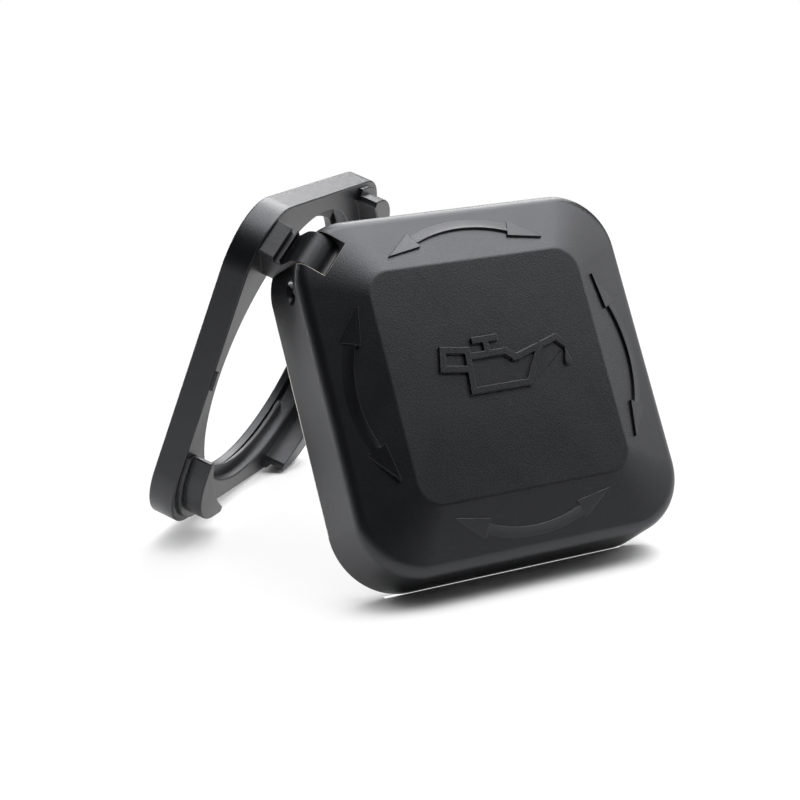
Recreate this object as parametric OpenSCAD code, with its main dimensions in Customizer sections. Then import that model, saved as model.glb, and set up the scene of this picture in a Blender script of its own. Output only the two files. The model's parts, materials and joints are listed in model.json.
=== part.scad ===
// Oil filler cap: square moulded lid standing half open on its corner-hinged collar frame.
// Every piece is drawn flat in its own frame, then stood up as in the photograph.

/* [Lid] */
// outside of the lid across the rim
lid_side = 100; // [85:0.5:115]
// corner radius of the rim
lid_corner_r = 18.5; // [15:0.5:24]
// wall of the lid
wall = 2; // [1.6:0.1:2.6]
// height of the flat top above the rim
lid_h = 22.5; // [20.5:0.1:26]
// width of the sloped border around the flat top
border_w = 18.25; // [15:0.25:22]
// corner radius of that flat square
top_corner_r = 6.75; // [4:0.25:10]
// fall of the sloped border for each millimetre outward
border_fall = 0.3; // [0.2:0.01:0.36]
// draft of the skirt for each millimetre of height
skirt_draft = 0.098; // [0.03:0.002:0.12]
// fillet between the skirt and the border
shoulder_r = 4; // [3:0.25:5.5]
// chamfer around the rim
rim_chamfer = 0.35; // [0.2:0.05:0.6]

/* [Turn arrows] */
// radius of the middle line of an arrow
arrow_r = 37.9; // [34:0.05:42]
// distance of the middle line from the lid's edge
arrow_edge = 7.55; // [7:0.05:9]
// width of the shaft
shaft_w = 2.6; // [1.5:0.1:3]
// half angle of the shaft
shaft_half = 22; // [15:0.5:24]
// width of a head at its barbs
head_w = 5.2; // [4:0.1:6]
// angle from the barbs to the tip
head_angle = 15; // [10:0.5:17]
// distance of a tip outside the middle line
tip_out = 0.9; // [0:0.1:1.2]
// height of the inner edge above the border
arrow_rise = 1.1; // [0.5:0.1:1.6]

/* [Oil can mark] */
// height of the mark above the flat top
mark_rise = 0.6; // [0.3:0.1:1]
// width of a stroke
stroke = 1.7; // [1.2:0.1:2]
// bottom of the can
can_w = 16.8; // [12:0.1:18]
// height of the can
can_h = 9.3; // [7:0.1:12]
// flat part of the can top
can_top_w = 11.2; // [9:0.1:12]
// distance of the can bottom below the lid centre
can_drop = 3.9; // [2:0.1:8]
// lean of the can's left side
can_lean = 0.8; // [0:0.1:1.5]
// shift of the can to the left of the lid centre
can_shift = 1.1; // [0:0.1:4]
// drop of the can top before the spout
dip_h = 1.9; // [1:0.1:2.5]
// length of the spout
spout_l = 12.6; // [10:0.1:14]
// rise of the spout over its length
spout_rise = 3.5; // [2:0.1:5]
// length of the tip that turns down
nib = 2.8; // [2:0.1:4]
// width of the handle
handle_w = 6.9; // [5:0.1:9]
// height of the handle
handle_h = 5; // [4:0.1:6.5]
// width of the filler knob
knob_w = 6.1; // [4.5:0.1:8]
// height of the knob bar above the can top
knob_h = 4.1; // [3:0.1:5.5]
// radius of the falling drop
drop_r = 1.4; // [1:0.05:1.8]
// length of the falling drop
drop_l = 5.6; // [4:0.1:7]

/* [Frame] */
// reveal of the lid's edge beyond the frame
frame_reveal = 1.45; // [0.8:0.05:3]
// thickness of the frame
frame_t = 7.8; // [7:0.1:11]
// gap between the rim of the closed lid and the frame
lid_gap = 0.96; // [0.9:0.01:1.6]
// corner radius of the frame
frame_corner_r = 18; // [14:0.5:20]
// wall between the opening and the middle of a side
mouth_wall = 5.5; // [4.5:0.1:8]
// depth of the front part of the opening
mouth_depth = 3.1; // [2:0.1:3.4]
// step in from the front part to the collar at the back
collar_step = 1.4; // [1:0.1:2.2]
// length of the collar at the back
collar_l = 2.4; // [1.6:0.1:2.8]
// height of the groove in front of the collar
groove_w = 1.2; // [0.8:0.1:1.5]
// depth of that groove behind the front part
groove_depth = 1.2; // [0.8:0.1:2]
// reach of the bayonet ledges into the opening
ledge_reach = 3.2; // [2.4:0.1:4]
// angle each ledge covers
ledge_span = 69; // [40:1:80]
// angle from the right-hand side to the middle of a ledge
ledge_mid = 102.5; // [80:0.5:120]
// play between the closed lid and the rest pads at the middle of the sides
pad_play = 0.12; // [0.08:0.01:0.5]
// length of a rest pad
pad_l = 5.5; // [3:0.1:9]
// width of a rest pad
pad_w = 1.5; // [0.8:0.1:2]

/* [Corner lugs] */
// height of the three guide lugs
lug_h = 6.6; // [4:0.1:8]
// distance of the lug wall from the frame edge
lug_inset = 3.2; // [3:0.05:5]
// width of the foot of a lug outside its wall
lug_foot = 2; // [1:0.1:2.4]
// height of that foot
lug_foot_h = 1.2; // [0.8:0.1:2]
// corner radius of a lug
lug_corner_r = 17; // [12:0.5:19]
// land between the opening and the inner face of a lug
lug_land = 6.3; // [5:0.1:7]
// distance of the lug ends from the middle lines of the frame
lug_end = 23.5; // [20:0.5:27]

/* [Hinge] */
// distance of the hinge axis from the sharp rim corner
axis_in = 13.5; // [13:0.1:14.5]
// height of the hinge axis above the rim
axis_h = 12; // [11.2:0.1:12.6]
// width of the frame's hinge lug
barrel_w = 10.6; // [8:0.1:12]
// radius of the hinge barrel
barrel_r = 5.2; // [4.2:0.1:5.6]
// side play of the lug in the notch
side_play = 0.3; // [0.2:0.05:0.5]
// depth of the notch from the sharp corner
notch_depth = 17.8; // [17:0.1:19]
// thickness of the cheeks that hold the pin
cheek_t = 2.4; // [1.8:0.1:2.6]
// length of the cheeks beyond the notch
cheek_extra = 2.7; // [1.5:0.1:4]
// clearance between the lid corner and the frame
swing_gap = 0.32; // [0.25:0.01:0.5]
// radius of the hinge pin
pin_r = 2; // [1.4:0.05:2.4]
// radial play of the pin in the cheeks
pin_fit = 0.02; // [0.01:0.005:0.05]
// radial play of the pin in the barrel
pin_run = 0.06; // [0.02:0.01:0.09]
// length of the pin beyond the cheeks
pin_extra = 0.5; // [0.2:0.05:0.7]
// radial play of the pin in the hole it is driven in through
access_play = 0.35; // [0.1:0.05:0.6]
// height of the lug's block above the frame
block_h = 4.2; // [3:0.1:5]
// height of the slot above the block
slot_h = 2.1; // [1.2:0.1:2.6]
// depth of the slot
slot_depth = 2; // [1:0.1:3]
// distance of the block's outer face from the sharp frame corner
block_in = 9.4; // [9:0.1:10]
// length of the block's base
block_l = 11.6; // [10.5:0.1:13]

/* [Pose] */
// opening angle of the hinge in the photograph
open_deg = 65.2; // [40:0.1:90]

/* [Hidden] */
$fn = 48;
corner_seg = 8;
shoulder_seg = 4;
shaft_seg = 8;
over = 1;
mould_black = [0.09, 0.09, 0.1];
pin_steel = [0.62, 0.63, 0.65];
lid_half = lid_side / 2;
top_half = lid_half - border_w;
frame_half = lid_half - frame_reveal;
tall = lid_side;
mouth_r = frame_half - mouth_wall;
collar_r = mouth_r - collar_step;
groove_r = mouth_r + groove_depth;
ledge_r = mouth_r - ledge_reach;
lug_arc = mouth_r + lug_land;
pad_h = lid_gap - pad_play;
arrow_centre = lid_half - arrow_edge - arrow_r;
r2 = sqrt(2);

// shoulder of the lid as a fillet between two lines of the profile (distance from centre, height)
skirt_turn = atan(skirt_draft);
border_turn = 90 - atan(border_fall);
function corner_u(half, top) = (half - skirt_draft * (top + border_fall * top_half))
    / (1 - skirt_draft * border_fall);
function corner_at(half, top) = let (u = corner_u(half, top))
    [u, top - border_fall * (u - top_half)];
function fillet_at(half, top, r) = let (v = corner_at(half, top),
    n1 = [cos(skirt_turn), sin(skirt_turn)], n2 = [cos(border_turn), sin(border_turn)])
    v - (n1 + n2) * r / (1 + n1 * n2);
function profile(half, top, r, low) = concat(
    [[half - skirt_draft * low, low]],
    [for (i = [0:shoulder_seg]) let (a = skirt_turn + (border_turn - skirt_turn) * i / shoulder_seg)
        fillet_at(half, top, r) + r * [cos(a), sin(a)]],
    [[top_half, top]]);
shoulder_u = corner_u(lid_half, lid_h);
shoulder_corner_r = lid_corner_r - (lid_half - shoulder_u);
function corner_r_at(u) = u >= shoulder_u ? lid_corner_r - (lid_half - u)
    : top_corner_r + (shoulder_corner_r - top_corner_r) * (u - top_half) / (shoulder_u - top_half);
function ring(half, r, z) = [for (k = [0:3]) for (i = [0:corner_seg])
    let (a = 90 * (k + i / corner_seg), sx = (k == 0 || k == 3) ? 1 : -1, sy = k < 2 ? 1 : -1)
    [sx * (half - r) + r * cos(a), sy * (half - r) + r * sin(a), z]];
outer_rings = concat(
    [ring(lid_half - rim_chamfer, lid_corner_r - rim_chamfer, 0)],
    [for (p = profile(lid_half, lid_h, shoulder_r, rim_chamfer)) ring(p[0], corner_r_at(p[0]), p[1])]);
inner_rings = [for (p = profile(lid_half - wall, lid_h - wall, shoulder_r - wall / 2, -over))
    ring(p[0], max(top_corner_r - wall, corner_r_at(p[0] + wall) - wall), p[1])];
function border_z(u) = lid_h - border_fall * (u - top_half);

// hinge axis in the frame of the closed lid, and the turn of the frame about it
axis_dir = [1, 1, 0] / r2;
axis_at = [-lid_half + axis_in / r2, lid_half - axis_in / r2, axis_h];
frame_edge_in = (lid_half - frame_half) * r2;
barrel_in = axis_in - frame_edge_in;
barrel_z = axis_h + lid_gap;
bore_cheek_r = pin_r + pin_fit;
bore_barrel_r = pin_r + pin_run;
access_r = pin_r + access_play;
notch_w = barrel_w + 2 * side_play;
cheek_end = notch_w / 2 + cheek_t;
pin_l = 2 * (cheek_end + pin_extra);
ear_r = barrel_z - swing_gap;
function turned(v, a) = v * cos(a) + cross(axis_dir, v) * sin(a)
    + axis_dir * (axis_dir * v) * (1 - cos(a));
function opened(p) = axis_at + turned(p - axis_at, open_deg);
frame_out = turned([0, 0, 1], open_deg);

// stance: the lid stands on its lower rim edge and leans back on the frame's hidden corner
lug_half = frame_half - lug_inset;
foot_half = lug_half + lug_foot;
function disc_low(centre, r, up) = opened(centre) * up - r * sqrt(1 - pow(frame_out * up, 2));
function corner_c(half, r) = [half - r, r - half];
function up_at(lean) = [0, cos(lean), sin(lean)];
function lean_gap(lean) = let (up = up_at(lean), f = corner_c(frame_half, frame_corner_r),
    l = corner_c(lug_half, lug_corner_r), b = corner_c(foot_half, lug_corner_r + lug_foot))
    min(disc_low([f[0], f[1], -lid_gap], frame_corner_r, up),
        disc_low([b[0], b[1], lug_foot_h - lid_gap], lug_corner_r + lug_foot, up),
        disc_low([l[0], l[1], lug_h - lid_gap], lug_corner_r, up))
    - min([for (p = outer_rings[0]) p * up]);
function solve(lo, hi, n) = let (m = (lo + hi) / 2) n == 0 ? m
    : lean_gap(m) > 0 ? solve(m, hi, n - 1) : solve(lo, m, n - 1);
lean = solve(5, 60, 40);

// support of the whole outline, to set the origin under the middle of its box
function corners(half, r) = [for (s = [[1, 1], [-1, 1], [-1, -1], [1, -1]]) s * (half - r)];
function frame_reach(d) = max([for (c = corners(frame_half, frame_corner_r))
    for (z = [-lid_gap, -lid_gap - frame_t])
    opened([c[0], c[1], z]) * d + frame_corner_r * sqrt(1 - pow(frame_out * d, 2))]);
function lid_reach(d) = max([for (s = outer_rings) for (p = s) p * d]);
function whole_reach(d) = max(frame_reach(d), lid_reach(d));
row_x = [1, 0, 0];
row_y = [0, sin(lean), -cos(lean)];
row_z = up_at(lean);
move_x = (whole_reach(-row_x) - whole_reach(row_x)) / 2;
move_y = (whole_reach(-row_y) - whole_reach(row_y)) / 2;
move_z = lid_reach(-row_z);

module stand() {
    translate([move_x, move_y, move_z]) rotate([90 - lean, 0, 0]) children();
}
module swing() {
    translate(axis_at) rotate(a = open_deg, v = [1, 1, 0]) translate(-axis_at)
        translate([0, 0, -lid_gap]) children();
}
// local frame of the hinge corner: x inward along the diagonal, y along the axis, z up
module at_corner(half) {
    translate([-half, half, 0]) rotate([0, 0, -45]) children();
}
module along_axis(half, inward, z, r, l) {
    at_corner(half) translate([inward, 0, z]) rotate([90, 0, 0]) cylinder(r = r, h = l, center = true);
}

module loft(rings) {
    n = len(rings[0]);
    m = len(rings);
    polyhedron(points = [for (s = rings) for (p = s) p], faces = concat(
        [[for (i = [0:n - 1]) i]],
        [[for (i = [0:n - 1]) (m - 1) * n + n - 1 - i]],
        [for (j = [0:m - 2]) for (i = [0:n - 1]) let (k = (i + 1) % n) [j * n + i, j * n + n + i, j * n + n + k]],
        [for (j = [0:m - 2]) for (i = [0:n - 1]) let (k = (i + 1) % n) [j * n + i, j * n + n + k, j * n + k]]));
}

// a ramp between an inner edge that stands proud and an outer edge that runs into the border
function on_arc(r, a, rise) = let (x = r * sin(a), y = arrow_centre + r * cos(a))
    [x, y, border_z(y) + rise];
module ramp(inner, outer) {
    n = len(inner);
    top = concat(inner, outer);
    polyhedron(points = concat(top, [for (p = top) [p[0], p[1], border_z(p[1]) - wall / 2]]),
        faces = concat(
            [for (i = [0:n - 2]) [i, n + i, i + 1]], [for (i = [0:n - 2]) [i + 1, n + i, n + i + 1]],
            [for (i = [0:n - 2]) [2 * n + i, 2 * n + i + 1, 3 * n + i]],
            [for (i = [0:n - 2]) [2 * n + i + 1, 3 * n + i + 1, 3 * n + i]],
            [for (i = [0:n - 2]) [i, i + 1, 2 * n + i]], [for (i = [0:n - 2]) [i + 1, 2 * n + i + 1, 2 * n + i]],
            [for (i = [0:n - 2]) [n + i, 3 * n + i, n + i + 1]],
            [for (i = [0:n - 2]) [n + i + 1, 3 * n + i, 3 * n + i + 1]],
            [[0, 2 * n, n], [n, 2 * n, 3 * n], [n - 1, 2 * n - 1, 3 * n - 1], [2 * n - 1, 4 * n - 1, 3 * n - 1]]));
}
flush = 0.04;
tip_share = 0.35;
module arrow_half() {
    shaft_in = arrow_r - shaft_w / 2;
    shaft_out = arrow_r + shaft_w / 2;
    head_in = arrow_r - head_w / 2;
    head_out = arrow_r + head_w / 2;
    tip = shaft_half + head_angle;
    ramp([for (i = [0:shaft_seg]) on_arc(shaft_in, (shaft_half + over) * i / shaft_seg, arrow_rise)],
        [for (i = [0:shaft_seg]) on_arc(shaft_out, (shaft_half + over) * i / shaft_seg, flush)]);
    ramp([on_arc(head_in, shaft_half, arrow_rise), on_arc(arrow_r + tip_out, tip, arrow_rise * tip_share)],
        [on_arc(head_out, shaft_half, flush), on_arc(arrow_r + tip_out + flush, tip, flush)]);
}
module arrow() {
    arrow_half();
    mirror([1, 0, 0]) arrow_half();
}

// strokes of the mark, drawn on the flat top
can_right = can_w - can_w / 2 - can_shift;
can_left = -can_w / 2 - can_shift;
can_top_left = can_left + can_lean;
can_top = can_h - can_drop;
dip_x = can_top_left + can_top_w + dip_h * 1.2;
dip_end = dip_x + dip_h * 0.6;
spout_x = dip_end + spout_l;
spout_y = can_top - dip_h + spout_rise;
function on_spout(share) = [dip_end + spout_l * share, can_top - dip_h + spout_rise * share];
shoulder_share = 0.58;
handle_skew = stroke * 0.65;
handle_top = can_top + stroke;
knob_x = can_top_left + can_top_w / 2 + stroke / 4;
module line(a, b, w) {
    d = b - a;
    translate(a) rotate([0, 0, atan2(d[1], d[0])]) translate([-w / 2, -w / 2]) square([norm(d) + w, w]);
}
module mark() {
    line([can_top_left, can_top], [can_left, -can_drop], stroke);
    line([can_left, -can_drop], [can_right, -can_drop], stroke);
    line([can_right, -can_drop], on_spout(shoulder_share), stroke);
    line([can_top_left, can_top], [can_top_left + can_top_w, can_top], stroke);
    line([can_top_left + can_top_w, can_top], [dip_x, can_top - dip_h], stroke);
    line([dip_x, can_top - dip_h], [dip_end, can_top - dip_h], stroke);
    line([dip_end, can_top - dip_h], [spout_x, spout_y], stroke);
    line([spout_x, spout_y], [spout_x + nib * cos(45), spout_y - nib * sin(45)], stroke);
    handle_x = can_top_left - handle_w;
    line([can_top_left, handle_top], [handle_x, handle_top + handle_skew], stroke);
    line([handle_x, handle_top + handle_skew],
        [handle_x - handle_skew, handle_top + handle_skew - handle_h], stroke);
    line([handle_x - handle_skew, handle_top + handle_skew - handle_h],
        [can_left, handle_top - handle_h], stroke);
    line([can_top_left, handle_top], [can_top_left, can_top], stroke);
    line([knob_x - knob_w / 2, can_top + knob_h], [knob_x + knob_w / 2, can_top + knob_h], stroke);
    line([knob_x, can_top + knob_h], [knob_x, can_top], stroke);
    translate([spout_x + nib / 2 + drop_r / 2, can_top - drop_l - drop_r / 4]) {
        circle(r = drop_r);
        polygon([[-drop_r, 0], [drop_r, 0], [0, drop_l - drop_r]]);
    }
}

module cheeks() {
    for (s = [-1, 1])
        at_corner(lid_half) translate([0, s * (notch_w + cheek_t) / 2 - cheek_t / 2, -2 * over])
            cube([notch_depth + cheek_extra, cheek_t, tall]);
}
module lid() {
    color(mould_black) stand() difference() {
        union() {
            loft(outer_rings);
            for (k = [0:3]) rotate([0, 0, 90 * k]) arrow();
            translate([0, 0, lid_h - wall / 2]) linear_extrude(height = wall / 2 + mark_rise) mark();
        }
        difference() {
            loft(inner_rings);
            cheeks();
        }
        at_corner(lid_half) translate([-over, -notch_w / 2, -over]) cube([notch_depth + over, notch_w, tall]);
        along_axis(lid_half, axis_in, axis_h, bore_cheek_r, 2 * (cheek_end + over));
        at_corner(lid_half) translate([axis_in, -cheek_end, axis_h]) rotate([90, 0, 0])
            cylinder(r = access_r, h = lid_corner_r);
        difference() {
            at_corner(lid_half) translate([-over, -lid_corner_r / 2, -over])
                cube([axis_in + over, lid_corner_r, axis_h / 2]);
            along_axis(lid_half, axis_in, axis_h, ear_r, 2 * lid_corner_r);
        }
    }
}

module hinge_pin() {
    color(pin_steel) stand() along_axis(lid_half, axis_in, axis_h, pin_r, pin_l);
}

module rounded(half, r) {
    for (s = [[half, half - r], [half - r, half]]) square(2 * s, center = true);
    for (c = corners(half, r)) translate(c) circle(r = r);
}
module sector(inner, outer, mid, span, z, h) {
    rotate([0, 0, mid - span / 2]) rotate_extrude(angle = span) translate([inner, z])
        square([outer - inner, h]);
}
// guide lug in the corner k quarter turns from the top right one
module lug(k) {
    difference() {
        union() {
            lug_block(k, lug_half, lug_corner_r, lug_h);
            lug_block(k, foot_half, lug_corner_r + lug_foot, lug_foot_h);
        }
        translate([0, 0, -tall / 2]) cylinder(r = lug_arc, h = tall);
    }
}
module lug_block(k, half, r, h) {
    rotate([0, 0, 90 * k]) translate([0, 0, -over]) linear_extrude(height = h + over)
        intersection() {
            translate([lug_end, lug_end]) square(half);
            rounded(half, r);
        }
}
module hinge_lug() {
    block_end = block_in + block_l;
    slot_top = block_h + slot_h;
    at_corner(frame_half) translate([0, barrel_w / 2, 0]) rotate([90, 0, 0]) linear_extrude(height = barrel_w)
        polygon([[block_in, -over], [block_in, block_h], [block_in + slot_depth, block_h],
            [block_in + slot_depth, slot_top], [block_in, slot_top],
            [barrel_in - barrel_r / 2, barrel_z - barrel_r * sqrt(3) / 2],
            [barrel_in, barrel_z], [barrel_in + barrel_r, barrel_z],
            [block_end, block_h], [block_end, -over]]);
    along_axis(frame_half, barrel_in, barrel_z, barrel_r, barrel_w);
}
module frame() {
    color(mould_black) stand() swing() difference() {
        union() {
            difference() {
                union() {
                    translate([0, 0, -frame_t]) linear_extrude(height = frame_t)
                        rounded(frame_half, frame_corner_r);
                    for (k = [0, 2, 3]) lug(k);
                    for (k = [0:3]) rotate([0, 0, 90 * k])
                        translate([frame_half - pad_w, -pad_l / 2, -over]) cube([pad_w, pad_l, pad_h + over]);
                }
                translate([0, 0, collar_l - frame_t]) cylinder(r = mouth_r, h = tall);
                translate([0, 0, -frame_t - over]) cylinder(r = collar_r, h = tall);
                translate([0, 0, collar_l - frame_t]) cylinder(r = groove_r, h = groove_w);
            }
            for (s = [0, 180])
                sector(ledge_r, mouth_r + over, ledge_mid + s, ledge_span,
                    collar_l - frame_t + groove_w, frame_t - collar_l - groove_w - mouth_depth);
            hinge_lug();
        }
        along_axis(frame_half, barrel_in, barrel_z, bore_barrel_r, barrel_w + 2 * over);
    }
}

lid();
frame();
hinge_pin();
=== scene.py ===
import json
import math

import bmesh
import bpy
from mathutils import Matrix, Vector


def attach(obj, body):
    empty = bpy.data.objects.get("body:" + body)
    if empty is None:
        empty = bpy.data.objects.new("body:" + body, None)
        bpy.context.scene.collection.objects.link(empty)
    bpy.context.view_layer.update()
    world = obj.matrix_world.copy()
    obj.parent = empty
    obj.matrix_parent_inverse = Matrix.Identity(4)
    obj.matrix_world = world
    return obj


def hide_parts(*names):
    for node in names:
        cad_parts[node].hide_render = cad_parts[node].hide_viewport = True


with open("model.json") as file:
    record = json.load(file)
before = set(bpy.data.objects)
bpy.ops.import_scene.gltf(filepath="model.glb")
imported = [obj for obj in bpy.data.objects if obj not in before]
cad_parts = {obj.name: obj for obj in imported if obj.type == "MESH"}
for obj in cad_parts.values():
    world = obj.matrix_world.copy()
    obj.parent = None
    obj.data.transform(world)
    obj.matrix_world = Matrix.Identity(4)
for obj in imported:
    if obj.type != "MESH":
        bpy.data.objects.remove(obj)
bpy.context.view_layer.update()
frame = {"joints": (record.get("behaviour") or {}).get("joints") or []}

# Stance. The half open cap stands on the lower rim of its lid and leans back on the hidden
# corner of its frame. The hinge in the record says where the lid and the frame lie in the
# room, so both can be drawn flat in their own place and are stood up at the end.
mm = 0.001
lid_half = 50 * mm
axis_in = 13.5 * mm
axis_h = 12 * mm
lid_gap = 0.96 * mm
hinge = frame["joints"][0]
hinge_dir = -Vector(hinge["axis"])
open_turn = -math.radians(hinge["range_deg"][0])
lean = math.atan2(hinge_dir.y, hinge_dir.z)
axis_at = Vector((axis_in / math.sqrt(2) - lid_half, lid_half - axis_in / math.sqrt(2), axis_h))
lid_turn = Matrix.Rotation(math.pi / 2 - lean, 4, "X")
lid_place = Matrix.Translation(Vector(hinge["pos_m"]) - lid_turn @ axis_at) @ lid_turn
frame_place = (
    lid_place
    @ Matrix.Translation(axis_at)
    @ Matrix.Rotation(open_turn, 4, Vector((1, 1, 0)))
    @ Matrix.Translation(Vector((0, 0, -lid_gap)) - axis_at)
)


# Collar frame: one injection moulding in black plastic, a square ring with softened edges.
# Its round mouth has a groove and a collar behind it, where the neck's lugs lock.
frame_half = 48.55 * mm
frame_t = 7.8 * mm
frame_corner_r = 18 * mm
frame_edge_r = 0.5 * mm
mouth_r = 43.05 * mm
mouth_depth = 3.1 * mm
collar_r = 41.65 * mm
collar_l = 2.4 * mm
groove_w = 1.2 * mm
groove_r = 44.25 * mm
corner_steps = 20
edge_steps = 3
round_steps = 160
over = 1 * mm
weld = 0.001 * mm


def piece(name, bm):
    """The finished bmesh as an object, with its faces turned outwards."""
    bmesh.ops.recalc_face_normals(bm, faces=bm.faces)
    mesh = bpy.data.meshes.new(name)
    bm.to_mesh(mesh)
    bm.free()
    obj = bpy.data.objects.new(name, mesh)
    bpy.context.scene.collection.objects.link(obj)
    return obj


def arc(centre, r, start, end, steps):
    """Points of an arc in a profile, from one angle to another."""
    turns = [start + (end - start) * i / steps for i in range(steps + 1)]
    return [(centre[0] + r * math.cos(a), centre[1] + r * math.sin(a)) for a in turns]


def ring(bm, half, corner, z):
    """A rounded square as a closed loop of edges."""
    place = Matrix.Translation((0, 0, z)) @ Matrix.Rotation(math.pi / 4, 4, "Z")
    made = bmesh.ops.create_circle(
        bm, cap_ends=True, radius=half * math.sqrt(2), segments=4, matrix=place,
    )
    old = set(bm.faces) - {made["verts"][0].link_faces[0]}
    bmesh.ops.bevel(
        bm, geom=made["verts"], offset=corner, segments=corner_steps, profile=0.5,
        affect="VERTICES", material=-1,
    )
    face = (set(bm.faces) - old).pop()
    edges = list(face.edges)
    bmesh.ops.delete(bm, geom=[face], context="FACES_ONLY")
    return edges


def loft(name, rings):
    """A closed solid through rounded squares of (half width, corner radius, height)."""
    bm = bmesh.new()
    loops = [ring(bm, *size) for size in rings]
    for low, high in zip(loops, loops[1:]):
        bmesh.ops.bridge_loops(bm, edges=low + high)
    for end in (loops[0], loops[-1]):
        bmesh.ops.contextual_create(bm, geom=end)
    return piece(name, bm)


def lathe(name, profile, turn=2 * math.pi, start=0.0, steps=round_steps):
    """A solid turned from a profile of (radius, height), round the Z axis."""
    bm = bmesh.new()
    verts = [bm.verts.new((r * math.cos(start), r * math.sin(start), z)) for r, z in profile]
    whole = turn == 2 * math.pi
    if whole:
        geom = verts + [bm.edges.new(pair) for pair in zip(verts, verts[1:])]
    else:
        geom = verts + [bm.faces.new(verts)]
    bmesh.ops.spin(
        bm, geom=geom, axis=(0, 0, 1), cent=(0, 0, 0), angle=turn, steps=steps, use_merge=whole,
    )
    bmesh.ops.remove_doubles(bm, verts=bm.verts, dist=weld)
    return piece(name, bm)


def combine(obj, tool, how):
    """Joins obj with tool, or cuts it with tool, which is used up."""
    step = obj.modifiers.new("combine", "BOOLEAN")
    step.operation, step.solver, step.object = how, "MANIFOLD", tool
    bpy.context.view_layer.update()
    ready = obj.evaluated_get(bpy.context.evaluated_depsgraph_get())
    mesh = bpy.data.meshes.new_from_object(ready)
    obj.modifiers.clear()
    obj.data = mesh
    bpy.data.objects.remove(tool)
    return obj


def soft_edges(half, low, high, r):
    """Half widths and heights of a straight wall whose lower and upper edges are rounded."""
    lower = arc((half - r, low + r), r, -math.pi / 2, 0, edge_steps)
    return lower + arc((half - r, high - r), r, 0, math.pi / 2, edge_steps)


collar = loft(
    "frame_ring",
    [(u, frame_corner_r - frame_half + u, z)
     for u, z in soft_edges(frame_half, -frame_t, 0, frame_edge_r)],
)
groove_z = collar_l - frame_t
groove_end = groove_z + groove_w
back_r = collar_r + frame_edge_r
front_r = mouth_r + frame_edge_r
mouth = lathe(
    "mouth_cut",
    [(0, -frame_t - over), (back_r, -frame_t - over)]
    + arc((back_r, frame_edge_r - frame_t), -frame_edge_r, math.pi / 2, 0, edge_steps)
    + [(collar_r, groove_z), (groove_r, groove_z), (groove_r, groove_end), (mouth_r, groove_end)]
    + arc((front_r, -frame_edge_r), -frame_edge_r, 0, -math.pi / 2, edge_steps)
    + [(front_r, over), (0, over)],
)
combine(collar, mouth, "DIFFERENCE")


# Bayonet ledges: two stepped sectors moulded inside the mouth, in front of the groove.
# The neck's lugs turn in behind them.
ledge_r = 39.85 * mm
ledge_span = math.radians(69)
ledge_mid = math.radians(102.5)
ledge_edge_r = 0.25 * mm
ledge_steps = 32
ledge_in = ledge_r + ledge_edge_r
for side in (0, math.pi):
    ledge = lathe(
        "ledge",
        [(mouth_r + over, groove_end), (mouth_r + over, -mouth_depth)]
        + arc(
            (ledge_in, -mouth_depth - ledge_edge_r), ledge_edge_r, math.pi / 2, math.pi, edge_steps
        )
        + arc(
            (ledge_in, groove_end + ledge_edge_r), ledge_edge_r, math.pi, 1.5 * math.pi, edge_steps
        ),
        turn=ledge_span, start=ledge_mid - ledge_span / 2 + side, steps=ledge_steps,
    )
    combine(collar, ledge, "UNION")


# Guide lugs: an L-shaped wall on a low foot in the three free corners, moulded with the frame.
# The closed lid is led in by them. Their edges are softened as the whole moulding's are.
lug_h = 6.6 * mm
lug_set_in = 3.2 * mm
lug_half = frame_half - lug_set_in
lug_corner_r = 17 * mm
lug_edge_r = 0.45 * mm
foot_out = 2 * mm
foot_h = 1.2 * mm
lug_arc = 49.35 * mm
lug_end = 23.5 * mm
flat_angle = math.radians(0.5)
crisp_angle = math.radians(35)


def pill(name, r, low, high, steps=round_steps):
    """A plain round tool for a cut."""
    return lathe(name, [(0, low), (r, low), (r, high), (0, high)], steps=steps)


def soften(obj, r, chosen, steps=edge_steps):
    """Rounds the edges that chosen picks."""
    bm = bmesh.new()
    bm.from_mesh(obj.data)
    bmesh.ops.dissolve_limit(
        bm, angle_limit=flat_angle, verts=bm.verts, edges=bm.edges, use_dissolve_boundaries=False,
    )
    edges = [e for e in bm.edges if len(e.link_faces) == 2 and chosen(e)]
    bmesh.ops.bevel(
        bm, geom=edges, offset=r, segments=steps, profile=0.5, affect="EDGES", material=-1,
        clamp_overlap=True,
    )
    bm.to_mesh(obj.data)
    bm.free()


def crisp(e):
    """True for an edge where two flat walls meet."""
    return e.calc_face_angle() > crisp_angle


def lug(half, corner, high):
    """One corner's wall: the rounded square, cut back to the corner and hollowed by an arc."""
    bm = bmesh.new()
    loops = [ring(bm, half, corner, z) for z in (-over, high)]
    bmesh.ops.bridge_loops(bm, edges=loops[0] + loops[1])
    for end in loops:
        bmesh.ops.contextual_create(bm, geom=end)
    for way in ((1, 0, 0), (0, 1, 0)):
        cut = bmesh.ops.bisect_plane(
            bm, geom=bm.verts[:] + bm.edges[:] + bm.faces[:], plane_co=Vector(way) * lug_end,
            plane_no=way, clear_inner=True,
        )
        rim = [e for e in cut["geom_cut"] if isinstance(e, bmesh.types.BMEdge)]
        bmesh.ops.contextual_create(bm, geom=rim)
    wall = combine(piece("lug", bm), pill("lug_cut", lug_arc, -2 * over, 2 * high), "DIFFERENCE")
    soften(
        wall, min(lug_edge_r, high / 3), lambda e: crisp(e) and max(v.co.z for v in e.verts) > 0
    )
    return wall


for quarter in (0, 2, 3):
    for out, high in ((0, lug_h), (foot_out, foot_h)):
        part = lug(lug_half + out, lug_corner_r + out, high)
        part.data.transform(Matrix.Rotation(quarter * math.pi / 2, 4, "Z"))
        combine(collar, part, "UNION")


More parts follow.
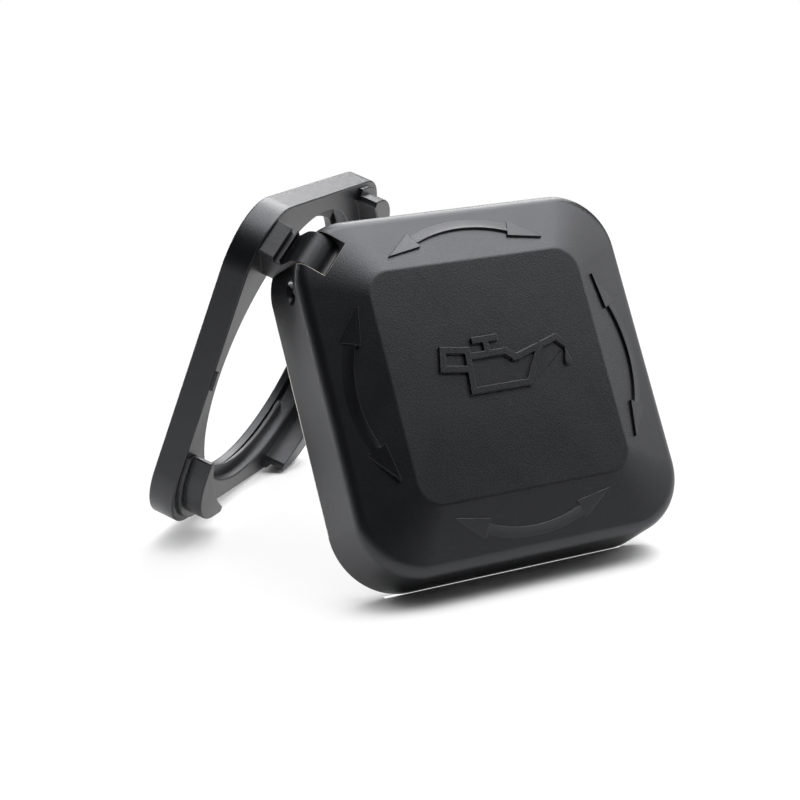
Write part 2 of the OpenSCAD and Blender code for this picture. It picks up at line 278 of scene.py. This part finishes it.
# Rest pads: small ribs at the middle of the left side and of the hidden right side, which the
# closed lid's rim rests on. The upper and lower sides show none.
pad_h = 0.84 * mm
pad_l = 5.5 * mm
pad_w = 0.9 * mm
pad_edge_r = 0.2 * mm
for half_turn in (0, 1):
    bm = bmesh.new()
    bmesh.ops.create_cube(bm, size=1)
    bmesh.ops.scale(bm, vec=(pad_w, pad_l, 2 * pad_h), verts=bm.verts)
    bmesh.ops.bevel(
        bm, geom=[e for e in bm.edges if all(v.co.z > 0 for v in e.verts)], offset=pad_edge_r,
        segments=edge_steps, profile=0.5, affect="EDGES", material=-1,
    )
    bmesh.ops.translate(bm, vec=(frame_half - frame_edge_r - pad_w / 2, 0, 0), verts=bm.verts)
    bmesh.ops.rotate(bm, matrix=Matrix.Rotation(half_turn * math.pi, 3, "Z"), verts=bm.verts)
    combine(collar, piece("pad", bm), "UNION")


# Hinge lug: a block on the frame's corner that bends over a slot with a small lip into a
# gooseneck and ends in the barrel. It is moulded with the frame. The pin runs in the barrel.
barrel_w = 10.6 * mm
barrel_r = 5.2 * mm
block_in = 9.4 * mm
block_l = 11.6 * mm
block_h = 4.2 * mm
slot_h = 1.6 * mm
slot_depth = 2.6 * mm
block_draft = 1 * mm
lip_in = 0.3 * mm
lip_t = 0.35 * mm
lip_back_t = 0.56 * mm
lip_l = 2.2 * mm
hinge_edge_r = 0.25 * mm
pin_r = 2 * mm
pin_run = 0.06 * mm
rod_steps = 96
barrel_in = axis_in - (lid_half - frame_half) * math.sqrt(2)
barrel_z = axis_h + lid_gap


def at_corner(half):
    """The hinge corner's own place: X inward along the diagonal, Y along the hinge, Z up."""
    return Matrix.Translation((-half, half, 0)) @ Matrix.Rotation(-math.pi / 4, 4, "Z")


def prism(outline, low, high):
    """A straight solid on an outline of (x, y)."""
    bm = bmesh.new()
    face = bm.faces.new([bm.verts.new((x, y, low)) for x, y in outline])
    top = bmesh.ops.extrude_face_region(bm, geom=[face])
    verts = [v for v in top["geom"] if isinstance(v, bmesh.types.BMVert)]
    bmesh.ops.translate(bm, vec=(0, 0, high - low), verts=verts)
    return bm


def along_hinge(r, half, inward, high, name, start, end):
    """A round solid along the hinge axis, from start to end."""
    rod = pill(name, r, start, end, rod_steps)
    lying = Matrix.Translation((inward, 0, high)) @ Matrix.Rotation(math.pi / 2, 4, "X")
    rod.data.transform(at_corner(half) @ lying)
    return rod


slot_top = block_h + slot_h
neck = prism(
    [
        (block_in - block_draft / 2, -over), (block_in + block_draft / 2, block_h),
        (block_in + slot_depth, block_h), (block_in + slot_depth, slot_top),
        (block_in + lip_in, slot_top), (block_in + lip_in, slot_top + lip_t),
        (block_in + lip_in + lip_l, slot_top + lip_back_t),
        (barrel_in - barrel_r / 2, barrel_z - barrel_r * math.sqrt(3) / 2),
        (barrel_in, barrel_z), (barrel_in + barrel_r, barrel_z),
        (block_in + block_l, block_h), (block_in + block_l, -over),
    ],
    -barrel_w / 2, barrel_w / 2,
)
bmesh.ops.rotate(neck, matrix=Matrix.Rotation(math.pi / 2, 3, "X"), verts=neck.verts)
gooseneck = piece("gooseneck", neck)
soften(gooseneck, hinge_edge_r, crisp)
gooseneck.data.transform(at_corner(frame_half))
barrel = along_hinge(
    barrel_r, frame_half, barrel_in, barrel_z, "barrel", -barrel_w / 2, barrel_w / 2
)
soften(barrel, hinge_edge_r, crisp)
combine(gooseneck, barrel, "UNION")
combine(collar, gooseneck, "UNION")
bore = along_hinge(
    pin_r + pin_run, frame_half, barrel_in, barrel_z, "bore", -barrel_w, barrel_w
)
combine(collar, bore, "DIFFERENCE")
sharp_angle = math.radians(38)


def finish(obj, place, body, node):
    """Shades the moulding smooth between its edges, stands it up and lets it ride."""
    mesh = obj.data
    mesh.shade_smooth()
    mesh.set_sharp_from_angle(angle=sharp_angle)
    mesh.transform(place)
    even = obj.modifiers.new("even", "WEIGHTED_NORMAL")
    even.keep_sharp = True
    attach(obj, body)
    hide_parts(node)


finish(collar, frame_place, "frame", "frame")


# Lid: one injection moulding in black plastic, a drafted shell with a flat square top, a
# sloped border and a rounded shoulder. Its corners open out from the top to the rim.
lid_corner_r = 18.5 * mm
wall = 2 * mm
lid_h = 22.5 * mm
top_half = 31.75 * mm
top_corner_r = 6.75 * mm
least_corner_r = 2 * mm
border_fall = 0.3
skirt_draft = 0.098
shoulder_r = 4 * mm
crease_r = 3 * mm
rim_r = 0.4 * mm
shoulder_steps = 10


def bend(before, corner, after, r, steps):
    """The corner of a profile rounded with radius r, as points from one leg to the other."""
    corner = Vector(corner)
    a, b = [(Vector(end) - corner).normalized() for end in (before, after)]
    reach = r / math.tan(a.angle(b) / 2)
    centre = corner + (a + b).normalized() * r / math.sin(a.angle(b) / 2)
    first, last = [(corner + leg * reach - centre).normalized() for leg in (a, b)]
    return [tuple(centre + first.slerp(last, i / steps) * r) for i in range(steps + 1)]


def lid_line(half, top, shoulder, crease):
    """Half widths and heights up the skirt, over the shoulder and in to the flat top."""
    knee = (half - skirt_draft * (top + border_fall * top_half)) / (1 - skirt_draft * border_fall)
    knee = (knee, top - border_fall * (knee - top_half))
    foot, edge, middle = (half, 0), (top_half, top), (0, top)
    over_shoulder = bend(foot, knee, edge, shoulder, shoulder_steps)
    return over_shoulder + bend(knee, edge, middle, crease, edge_steps)


def corner_at(u, half):
    """Corner radius of a ring of half width u: it closes in over the border."""
    knee = lid_outer[shoulder_steps // 2][0] + half - lid_half
    full = lid_corner_r - lid_half
    if u >= knee:
        return full + u
    share = (u - top_half) / (knee - top_half)
    return max(top_corner_r + (full + knee - top_corner_r) * share, least_corner_r)


lid_outer = lid_line(lid_half, lid_h, shoulder_r, crease_r)
lid_inner = lid_line(lid_half - wall, lid_h - wall, shoulder_r - wall / 2, crease_r)
outer_rim = arc((lid_half - rim_r, rim_r), rim_r, -math.pi / 2, 0, edge_steps)
inner_foot = lid_half - wall
inner_rim = arc((inner_foot + rim_r, rim_r), -rim_r, math.pi / 2, 0, edge_steps)
lid = loft("lid_shell", [(u, corner_at(u, lid_half), z) for u, z in outer_rim + lid_outer])
hollow = loft(
    "hollow",
    [(u, corner_at(u, inner_foot), z)
     for u, z in [(inner_foot + rim_r, -over)] + inner_rim + lid_inner],
)


# Pin cheeks: two walls inside the lid's corner, moulded with it, which hold the pin on both
# sides of the notch. The notch lets the frame's gooseneck through the skirt and border.
notch_depth = 17.8 * mm
side_play = 0.3 * mm
notch_w = barrel_w + 2 * side_play
cheek_t = 2.4 * mm
cheek_extra = 2.7 * mm
pin_fit = 0.02 * mm
access_play = 0.35 * mm
access_r = pin_r + access_play
swing_gap = 0.32 * mm
tall = 2 * lid_half
cheek_end = notch_w / 2 + cheek_t


def corner_box(name, x, y, z):
    """A box in the hinge corner's own place, from its limits inward, along the hinge and up."""
    bm = bmesh.new()
    bmesh.ops.create_cube(bm, size=1)
    bmesh.ops.translate(bm, vec=(0.5, 0.5, 0.5), verts=bm.verts)
    bmesh.ops.scale(bm, vec=(x[1] - x[0], y[1] - y[0], z[1] - z[0]), verts=bm.verts)
    bmesh.ops.translate(bm, vec=(x[0], y[0], z[0]), verts=bm.verts)
    bmesh.ops.transform(bm, matrix=at_corner(lid_half), verts=bm.verts)
    return piece(name, bm)


for side in (-cheek_end, notch_w / 2):
    cheek = corner_box(
        "cheek", (-over, notch_depth + cheek_extra), (side, side + cheek_t), (-2 * over, tall)
    )
    combine(hollow, cheek, "DIFFERENCE")


# Turn arrows: four double-headed arrows moulded on the border, one on each side. Each is a
# ramp that stands proud along its inner edge and runs out into the border at its outer one.
# They are not of one height: the lower one is nearly flat.
arrow_r = 37.9 * mm
arrow_mid = lid_half - 7.55 * mm
shaft_w = 2.6 * mm
shaft_half = math.radians(22)
head_w = 5.2 * mm
head_angle = math.radians(15)
tip_out = 0.9 * mm
arrow_rises = (0.8 * mm, 1.1 * mm, 0.3 * mm, 0.8 * mm)
tip_share = 0.85
ramp_knee = 0.42
ramp_low = 0.3
flush = 0.04 * mm
arrow_soft = 0.12 * mm
shaft_steps = 28
soft_steps = 2
border_top = lid_h + border_fall * top_half
on_border = Matrix(((1, 0, 0, 0), (0, 1, 0, 0), (0, -border_fall, 1, border_top), (0, 0, 0, 1)))
arrow_centre = Matrix.Translation((0, arrow_mid - arrow_r, 0))


def shaft(rise):
    """The bowed shaft, turned from its wedge-shaped section."""
    inner, outer = arrow_r - shaft_w / 2, arrow_r + shaft_w / 2
    return lathe(
        "shaft",
        [(inner, -wall / 2), (outer, -wall / 2), (outer, flush),
         (inner + shaft_w * ramp_knee, rise * ramp_low), (inner + arrow_soft, rise),
         (inner, rise - arrow_soft)],
        turn=2 * shaft_half, start=math.pi / 2 - shaft_half, steps=shaft_steps,
    )


def head(rise):
    """The right-hand head: a triangle whose top face falls from the inner barb outwards."""
    spots = (
        (arrow_r - head_w / 2, shaft_half), (arrow_r + tip_out, shaft_half + head_angle),
        (arrow_r + head_w / 2, shaft_half),
    )
    bm = prism([(r * math.sin(a), r * math.cos(a)) for r, a in spots], -wall / 2, flush)
    top = [v for v in bm.verts if v.co.z > 0]
    barb = min(top, key=lambda v: v.co.xy.length)
    tip = max(top, key=lambda v: v.co.x)
    barb.co.z = rise
    tip.co.z = rise * tip_share
    bmesh.ops.bevel(
        bm, geom=[e for e in bm.edges if barb in e.verts and tip in e.verts], offset=arrow_soft,
        segments=soft_steps, profile=0.5, affect="EDGES", material=-1,
    )
    return piece("head", bm)


def arrow(rise):
    """Shaft and both heads as one solid, laid on the border above the lid's centre."""
    made = shaft(rise)
    left = head(rise)
    left.data.transform(Matrix.Scale(-1, 4, (1, 0, 0)))
    left.data.flip_normals()
    for end in (head(rise), left):
        combine(made, end, "UNION")
    made.data.transform(on_border @ arrow_centre)
    return made


raised = []
for quarter, rise in enumerate(arrow_rises):
    raised.append(arrow(rise))
    raised[-1].data.transform(Matrix.Rotation(quarter * math.pi / 2, 4, "Z"))


# Oil can mark: a raised line drawing of a can with its spout, knob, handle and drop, moulded
# on the flat top. The line is of one width, with rounded top edges.
mark_rise = 0.75 * mm
mark_soft = 0.3 * mm
stroke = 1.7 * mm
can_w = 16.8 * mm
can_h = 9.3 * mm
can_top_w = 11.2 * mm
can_drop = 3.9 * mm
can_lean = 0.8 * mm
can_shift = 1.1 * mm
dip_h = 1.9 * mm
dip_slope = 1.2
dip_floor = 0.6
spout_l = 12.6 * mm
spout_rise = 3.5 * mm
spout_joint = 0.58
nib = 2.8 * mm
skew = 1.105 * mm
handle_w = 6.9 * mm
handle_h = 5 * mm
knob_w = 6.1 * mm
knob_h = 4.1 * mm
drop_r = 1.1 * mm
drop_l = 5 * mm
drop_from = math.radians(165)
drop_to = math.radians(375)
drop_steps = 20
near_top = 0.01 * mm
can_right = can_w / 2 - can_shift
can_left = -can_w / 2 - can_shift
can_top = can_h - can_drop
top_left = Vector((can_left + can_lean, can_top))
top_right = top_left + Vector((can_top_w, 0))
dip = top_right + Vector((dip_h * dip_slope, -dip_h))
spout_foot = dip + Vector((dip_h * dip_floor, 0))
spout_tip = spout_foot + Vector((spout_l, spout_rise))
joint = spout_foot.lerp(spout_tip, spout_joint)
mark_low, mark_high = lid_h - wall / 2, lid_h + mark_rise


def line(start, end):
    """One stroke of the drawing, run on by half its width past both ends of its line."""
    along = (end - start).normalized() * stroke / 2
    out = Vector((-along.y, along.x))
    a, b = start - along, end + along
    return piece("stroke", prism([a - out, b - out, b + out, a + out], mark_low, mark_high))


def route(*points):
    """The strokes from point to point, as one solid."""
    made = line(points[0], points[1])
    for start, end in zip(points[1:], points[2:]):
        combine(made, line(start, end), "UNION")
    return made


handle_top = top_left + Vector((0, stroke))
handle_out = handle_top + Vector((-handle_w, skew))
handle_low = handle_out + Vector((-skew, -handle_h))
can_side = Vector((can_left, can_top + stroke - handle_h))
knob_at = top_left.x + can_top_w / 2 + stroke / 4
can_floor = [Vector((x, -can_drop)) for x in (can_left, can_right)]
spout_end = spout_tip + Vector((nib, -nib)) / math.sqrt(2)
knob_ends = [Vector((knob_at + side * knob_w / 2, can_top + knob_h)) for side in (-1, 1)]
drawing = route(spout_foot, dip, top_right, top_left, *can_floor, joint)
for points in (
    (spout_foot, spout_tip, spout_end),
    (top_left, handle_top, handle_out, handle_low, can_side),
    (Vector((knob_at, can_top)), Vector((knob_at, can_top + knob_h))),
    knob_ends,
):
    combine(drawing, route(*points), "UNION")
drop_at = Vector((spout_tip.x + nib / 2 + drop_r / 2, can_top - drop_l - drop_r / 4))
drop_line = arc(drop_at, drop_r, drop_from, drop_to, drop_steps)
drop_line.append((drop_at.x, drop_at.y + drop_l - drop_r))


def upper(e):
    """True for a crisp edge along the top of the mark."""
    return crisp(e) and all(v.co.z > mark_high - near_top for v in e.verts)


for part in (drawing, piece("drop", prism(drop_line, mark_low, mark_high))):
    soften(part, mark_soft, upper, soft_steps)
    raised.append(part)


def together(name, parts):
    """Separate solids as one object."""
    bm = bmesh.new()
    for part in parts:
        bm.from_mesh(part.data)
        bpy.data.objects.remove(part)
    return piece(name, bm)


combine(lid, together("raised", raised), "UNION")


# The lid's openings: the hollow, the notch, the pin's hole and the wider hole in the left
# skirt that the pin is driven in through, and the lower corner trimmed clear of the frame.
combine(lid, hollow, "DIFFERENCE")
notch = corner_box("notch", (-over, notch_depth), (-notch_w / 2, notch_w / 2), (-over, tall))
combine(lid, notch, "DIFFERENCE")
pin_hole = along_hinge(
    pin_r + pin_fit, lid_half, axis_in, axis_h, "pin_hole", -cheek_end - over, cheek_end + over
)
combine(lid, pin_hole, "DIFFERENCE")
way_in = along_hinge(
    access_r, lid_half, axis_in, axis_h, "way_in", cheek_end, cheek_end + lid_corner_r
)
combine(lid, way_in, "DIFFERENCE")
trim = corner_box(
    "trim", (-over, axis_in), (-lid_corner_r / 2, lid_corner_r / 2), (-over, axis_h / 2)
)
ear = along_hinge(
    barrel_z - swing_gap, lid_half, axis_in, axis_h, "ear", -lid_corner_r, lid_corner_r
)
combine(trim, ear, "DIFFERENCE")
combine(lid, trim, "DIFFERENCE")
finish(lid, lid_place, "lid", "lid")


# Hinge pin: a plain length of drawn steel wire with rounded ends. It is pressed into the
# lid's cheeks and turns in the frame's barrel. Its left end shows in the hole in the skirt.
pin_extra = 0.5 * mm
pin_shown = 1.8 * mm
pin_edge_r = 0.35 * mm
pin = along_hinge(
    pin_r, lid_half, axis_in, axis_h, "pin", -cheek_end - pin_extra, cheek_end + pin_shown
)
soften(pin, pin_edge_r, crisp)
finish(pin, lid_place, "lid", "hinge_pin")


# Black moulded plastic: a filled polyamide or ABS, satin from the fine spark texture of its
# mould. It reads as soft black face on, and turns grey where it is seen at a low angle. Pale
# painted highlights lie on the notch's edges and along the lid's left and lower rim.
def colour(code):
    """A colour written in sRGB hex, as the linear values that the shader takes."""
    parts = [int(code[i:i + 2], 16) / 255 for i in (1, 3, 5)]
    return [c / 12.92 if c <= 0.04045 else ((c + 0.055) / 1.055) ** 2.4 for c in parts] + [1]


def fill(tree, socket, value):
    """Links the socket to another node's output, or sets its own value."""
    if isinstance(value, bpy.types.NodeSocket):
        tree.links.new(value, socket)
    else:
        socket.default_value = value


def node(tree, kind, settings=None, **links):
    """Adds a node, sets its own settings and fills its inputs by name."""
    made = tree.nodes.new(kind)
    for key, value in (settings or {}).items():
        setattr(made, key, value)
    for key, value in links.items():
        fill(tree, made.inputs[key.replace("_", " ")], value)
    return made


def number(tree, operation, *values, kind="ShaderNodeMath"):
    """The number that a maths node makes of its inputs, which are filled in order."""
    made = node(tree, kind, {"operation": operation})
    for socket, value in zip(made.inputs, values):
        fill(tree, socket, value)
    return made.outputs["Value"]


def material(name):
    """An empty material and its tree."""
    made = bpy.data.materials.new(name)
    made.use_nodes = True
    made.node_tree.nodes.clear()
    return made, made.node_tree


def dress(skin, *objs):
    """Gives the pieces their one material."""
    for obj in objs:
        obj.data.materials.clear()
        obj.data.materials.append(skin)


grain_size = 0.38 * mm
grain_depth = 0.055 * mm
patch_size = 14 * mm
gloss = (0.33, 0.43)
edge_round = 0.25 * mm
# Painted highlights: the black is mixed toward pale cream in a thin band along the lid's left and
# lower rim and on the notch's rounded edges, broken up in patches.
highlight_band_w = 0.6 * mm
highlight_inset_share = 0.8
highlight_edge_from = 0.98
highlight_edge_full = 0.88
highlight_patch_range = (0.35, 0.6)
highlight_least = 0.35
plastic, tree = material("moulded_black_plastic")
place = node(tree, "ShaderNodeTexCoord").outputs["Object"]
grain = node(
    tree, "ShaderNodeTexNoise", Vector=place, Scale=1 / grain_size, Detail=3.0, Roughness=0.6
)
edge = node(tree, "ShaderNodeBevel", {"samples": 6}, Radius=edge_round)
bump = node(
    tree, "ShaderNodeBump", Strength=1.0, Distance=grain_depth, Height=grain.outputs["Fac"],
    Normal=edge.outputs["Normal"],
)
patch = node(
    tree, "ShaderNodeTexNoise", Vector=place, Scale=1 / patch_size, Detail=4.0, Roughness=0.55
)
rough = node(
    tree, "ShaderNodeMapRange", Value=patch.outputs["Fac"], To_Min=gloss[0], To_Max=gloss[1]
)


def within(tree, value, low, high):
    """1 where the value lies between the two limits."""
    return number(tree, "COMPARE", value, (low + high) / 2, (high - low) / 2)


def chain(tree, operation, *values):
    """One operation along a list of values."""
    last = values[0]
    for value in values[1:]:
        last = number(tree, operation, last, value)
    return last


def both(tree, *values):
    """The part that all masks share."""
    return chain(tree, "MULTIPLY", *values)


def larger(tree, *values):
    """The part that any of the masks holds."""
    return chain(tree, "MAXIMUM", *values)


def seen_from(tree, place, where):
    """The three coordinates of the surface as they are in another place, such as the lid's."""
    own = node(
        tree, "ShaderNodeMapping", {"vector_type": "TEXTURE"}, Vector=place,
        Location=where.to_translation(), Rotation=where.to_euler(),
    )
    return node(tree, "ShaderNodeSeparateXYZ", Vector=own.outputs["Vector"]).outputs


straight = lid_half - lid_corner_r
highlight_inset = highlight_inset_share * rim_r - lid_half
x, y, z = seen_from(tree, place, lid_place)
left_rim, low_rim = [
    both(
        tree, within(tree, across, -lid_half, highlight_inset),
        within(tree, along, -straight, straight), within(tree, z, 0, highlight_band_w),
    )
    for across, along in ((x, y), (y, x))
]
x, y, z = seen_from(tree, place, lid_place @ at_corner(lid_half))
at_notch = both(
    tree, within(tree, x, 0, notch_depth + edge_round), within(tree, z, lid_h / 2, lid_h),
    within(tree, y, -notch_w / 2 - edge_round, notch_w / 2 + edge_round),
)
flat = node(tree, "ShaderNodeNewGeometry").outputs["Normal"]
turn = number(
    tree, "DOT_PRODUCT", edge.outputs["Normal"], flat, kind="ShaderNodeVectorMath"
)
on_edge = node(
    tree, "ShaderNodeMapRange", Value=turn, From_Min=highlight_edge_from, From_Max=highlight_edge_full,
    To_Min=0.0, To_Max=1.0,
)
painted_highlight = larger(tree, both(tree, at_notch, on_edge.outputs["Result"]), left_rim, low_rim)
highlight_patches = node(
    tree, "ShaderNodeMapRange", Value=patch.outputs["Fac"], From_Min=highlight_patch_range[0],
    From_Max=highlight_patch_range[1], To_Min=highlight_least, To_Max=1.0,
)
# The painted highlights mix the black toward pale cream.
skin = node(
    tree, "ShaderNodeMixRGB", Fac=both(tree, painted_highlight, highlight_patches.outputs["Result"]),
    Color1=colour("#0a0b0e"), Color2=colour("#efe9da"),
)
shade = node(
    tree, "ShaderNodeBsdfPrincipled", Base_Color=skin.outputs["Color"],
    Roughness=rough.outputs["Result"], IOR=1.55, Specular_Tint=colour("#f3f4fa"),
    Normal=bump.outputs["Normal"],
)
node(tree, "ShaderNodeOutputMaterial", Surface=shade.outputs["BSDF"])
dress(plastic, lid, collar)


# Drawn steel wire: bright, with a fine unevenness left by the drawing.
wire_grain = 0.2 * mm
wire_gloss = (0.25, 0.4)
steel, tree = material("drawn_steel_wire")
place = node(tree, "ShaderNodeTexCoord").outputs["Object"]
drawn = node(tree, "ShaderNodeTexNoise", Vector=place, Scale=1 / wire_grain, Detail=2.0)
rough = node(
    tree, "ShaderNodeMapRange", Value=drawn.outputs["Fac"], To_Min=wire_gloss[0],
    To_Max=wire_gloss[1],
)
shade = node(
    tree, "ShaderNodeBsdfPrincipled", Base_Color=colour("#c3c4c6"), Metallic=1.0,
    Roughness=rough.outputs["Result"],
)
node(tree, "ShaderNodeOutputMaterial", Surface=shade.outputs["BSDF"])
dress(steel, pin)


# Studio: a floor of white paper that shows soft shadows near the cap and plain white away
# from it. Painted reflection: what mirrors the paper sees it glow white behind the cap and
# dimmer in front. Painted light: a narrow strip of floor under the lid's rim glows white.
floor_size = 6
shadow_reach = 25 * mm
shadow_range = (0.3, 0.95)
open_most = 0.9
fade_from = 120 * mm
fade_to = 450 * mm
rim_strip_from = -23 * mm
rim_strip_to = 50 * mm
rim_strip_w = 0.6 * mm
reflection_glow_front = 0.3
reflection_glow_behind = 1.0
glow_way = (0.5, 0.87, 0)
glow_from = -40 * mm
glow_to = 140 * mm
floor_mesh = bmesh.new()
bmesh.ops.create_grid(floor_mesh, x_segments=1, y_segments=1, size=floor_size)
floor = piece("floor", floor_mesh)
white, tree = material("white_paper")
seen = node(tree, "ShaderNodeLightPath")
paper = node(tree, "ShaderNodeBsdfDiffuse", Color=colour("#f4f4f4"))
near = node(tree, "ShaderNodeAmbientOcclusion", {"samples": 16}, Distance=shadow_reach)
open_floor = node(
    tree, "ShaderNodeMapRange", {"interpolation_type": "SMOOTHSTEP"}, Value=near.outputs["AO"],
    From_Min=shadow_range[0], From_Max=shadow_range[1], To_Min=0.0, To_Max=open_most,
)
place = node(tree, "ShaderNodeTexCoord").outputs["Object"]
away = number(tree, "LENGTH", place, kind="ShaderNodeVectorMath")
fade = node(
    tree, "ShaderNodeMapRange", {"interpolation_type": "SMOOTHSTEP"}, Value=away,
    From_Min=fade_from, From_Max=fade_to,
)
x, y, z = node(tree, "ShaderNodeSeparateXYZ", Vector=place).outputs
# Painted light: a narrow strip of floor along the lid's lower rim glows white for the camera.
rim_at = (lid_place @ Vector((0, -lid_half, 0))).y
painted_rim_light = both(
    tree, within(tree, x, rim_strip_from, rim_strip_to), within(tree, y, rim_at - rim_strip_w, rim_at + rim_strip_w)
)
white_share = larger(tree, open_floor.outputs["Result"], fade.outputs["Result"], painted_rim_light)
# Painted reflection: rays that mirror the floor see it glow white behind the cap and dimmer in
# front.
behind = number(tree, "DOT_PRODUCT", place, glow_way, kind="ShaderNodeVectorMath")
reflection_glow = node(
    tree, "ShaderNodeMapRange", {"interpolation_type": "SMOOTHSTEP"}, Value=behind,
    From_Min=glow_from, From_Max=glow_to, To_Min=reflection_glow_front, To_Max=reflection_glow_behind,
)
looked_at = number(
    tree, "MULTIPLY_ADD", seen.outputs["Is Glossy Ray"], reflection_glow.outputs["Result"],
    seen.outputs["Is Camera Ray"],
)
glow = node(tree, "ShaderNodeEmission", Color=(1, 1, 1, 1), Strength=1.0)
mix = node(tree, "ShaderNodeMixShader", Fac=both(tree, looked_at, white_share))
fill(tree, mix.inputs[1], paper.outputs[0])
fill(tree, mix.inputs[2], glow.outputs[0])
node(tree, "ShaderNodeOutputMaterial", Surface=mix.outputs[0])
dress(white, floor)


# World: white where the camera looks past the floor, and dark for everything else.
scene = bpy.context.scene
scene.view_settings.view_transform = "Standard"
world = bpy.data.worlds.new("studio")
scene.world = world
world.use_nodes = True
tree = world.node_tree
tree.nodes.clear()
seen = node(tree, "ShaderNodeLightPath")
sky = node(
    tree, "ShaderNodeBackground", Color=(1, 1, 1, 1), Strength=seen.outputs["Is Camera Ray"]
)
node(tree, "ShaderNodeOutputWorld", Surface=sky.outputs[0])


# Lamps: square softboxes above the cap, to its right and behind it, and none in front.
def softbox(name, turn, rise, power):
    """A square lamp that faces the cap, turned to the right from the front and raised."""
    lamp = bpy.data.lights.new(name, "AREA")
    lamp.shape, lamp.size, lamp.energy = "SQUARE", lamp_size, power
    level = Vector((math.sin(turn), -math.cos(turn), 0))
    way = level * math.cos(rise) + Vector((0, 0, math.sin(rise)))
    obj = bpy.data.objects.new(name, lamp)
    obj.location = lamp_aim + way * lamp_far
    obj.rotation_euler = way.to_track_quat("Z", "Y").to_euler()
    scene.collection.objects.link(obj)


lamp_size = 0.6
lamp_far = 1.2
lamp_aim = Vector((0, 0, 0.05))
for name, turn, rise, power in (
    ("overhead", 0, 88, 6.4),
    ("right_high", 60, 62, 7.2),
    ("right_middle", 72, 36, 3.2),
    ("right_low", 60, 12, 1.0),
    ("side_low", 90, 12, 1.6),
    ("back_high", 120, 62, 6.6),
    ("back_middle", 144, 36, 8.4),
    ("back_left", 210, 12, 21.0),
):
    softbox(name, math.radians(turn), math.radians(rise), power)


# Camera: at the photograph's viewing angle, with the lens that was fitted to its outlines.
camera_spot = Vector((-215.15, -456.4, 193.92)) * mm
camera_heading = math.radians(-26.321)
camera_dip = math.radians(17.478)
camera_roll = math.radians(-1.18)
lens = bpy.data.cameras.new("camera")
lens.lens = 82.78
lens.sensor_width = 36
lens.clip_start = 0.01
camera = bpy.data.objects.new("camera", lens)
camera.matrix_world = (
    Matrix.Translation(camera_spot)
    @ Matrix.Rotation(camera_heading, 4, "Z")
    @ Matrix.Rotation(math.pi / 2 - camera_dip, 4, "X")
    @ Matrix.Rotation(camera_roll, 4, "Z")
)
scene.collection.objects.link(camera)
scene.camera = camera
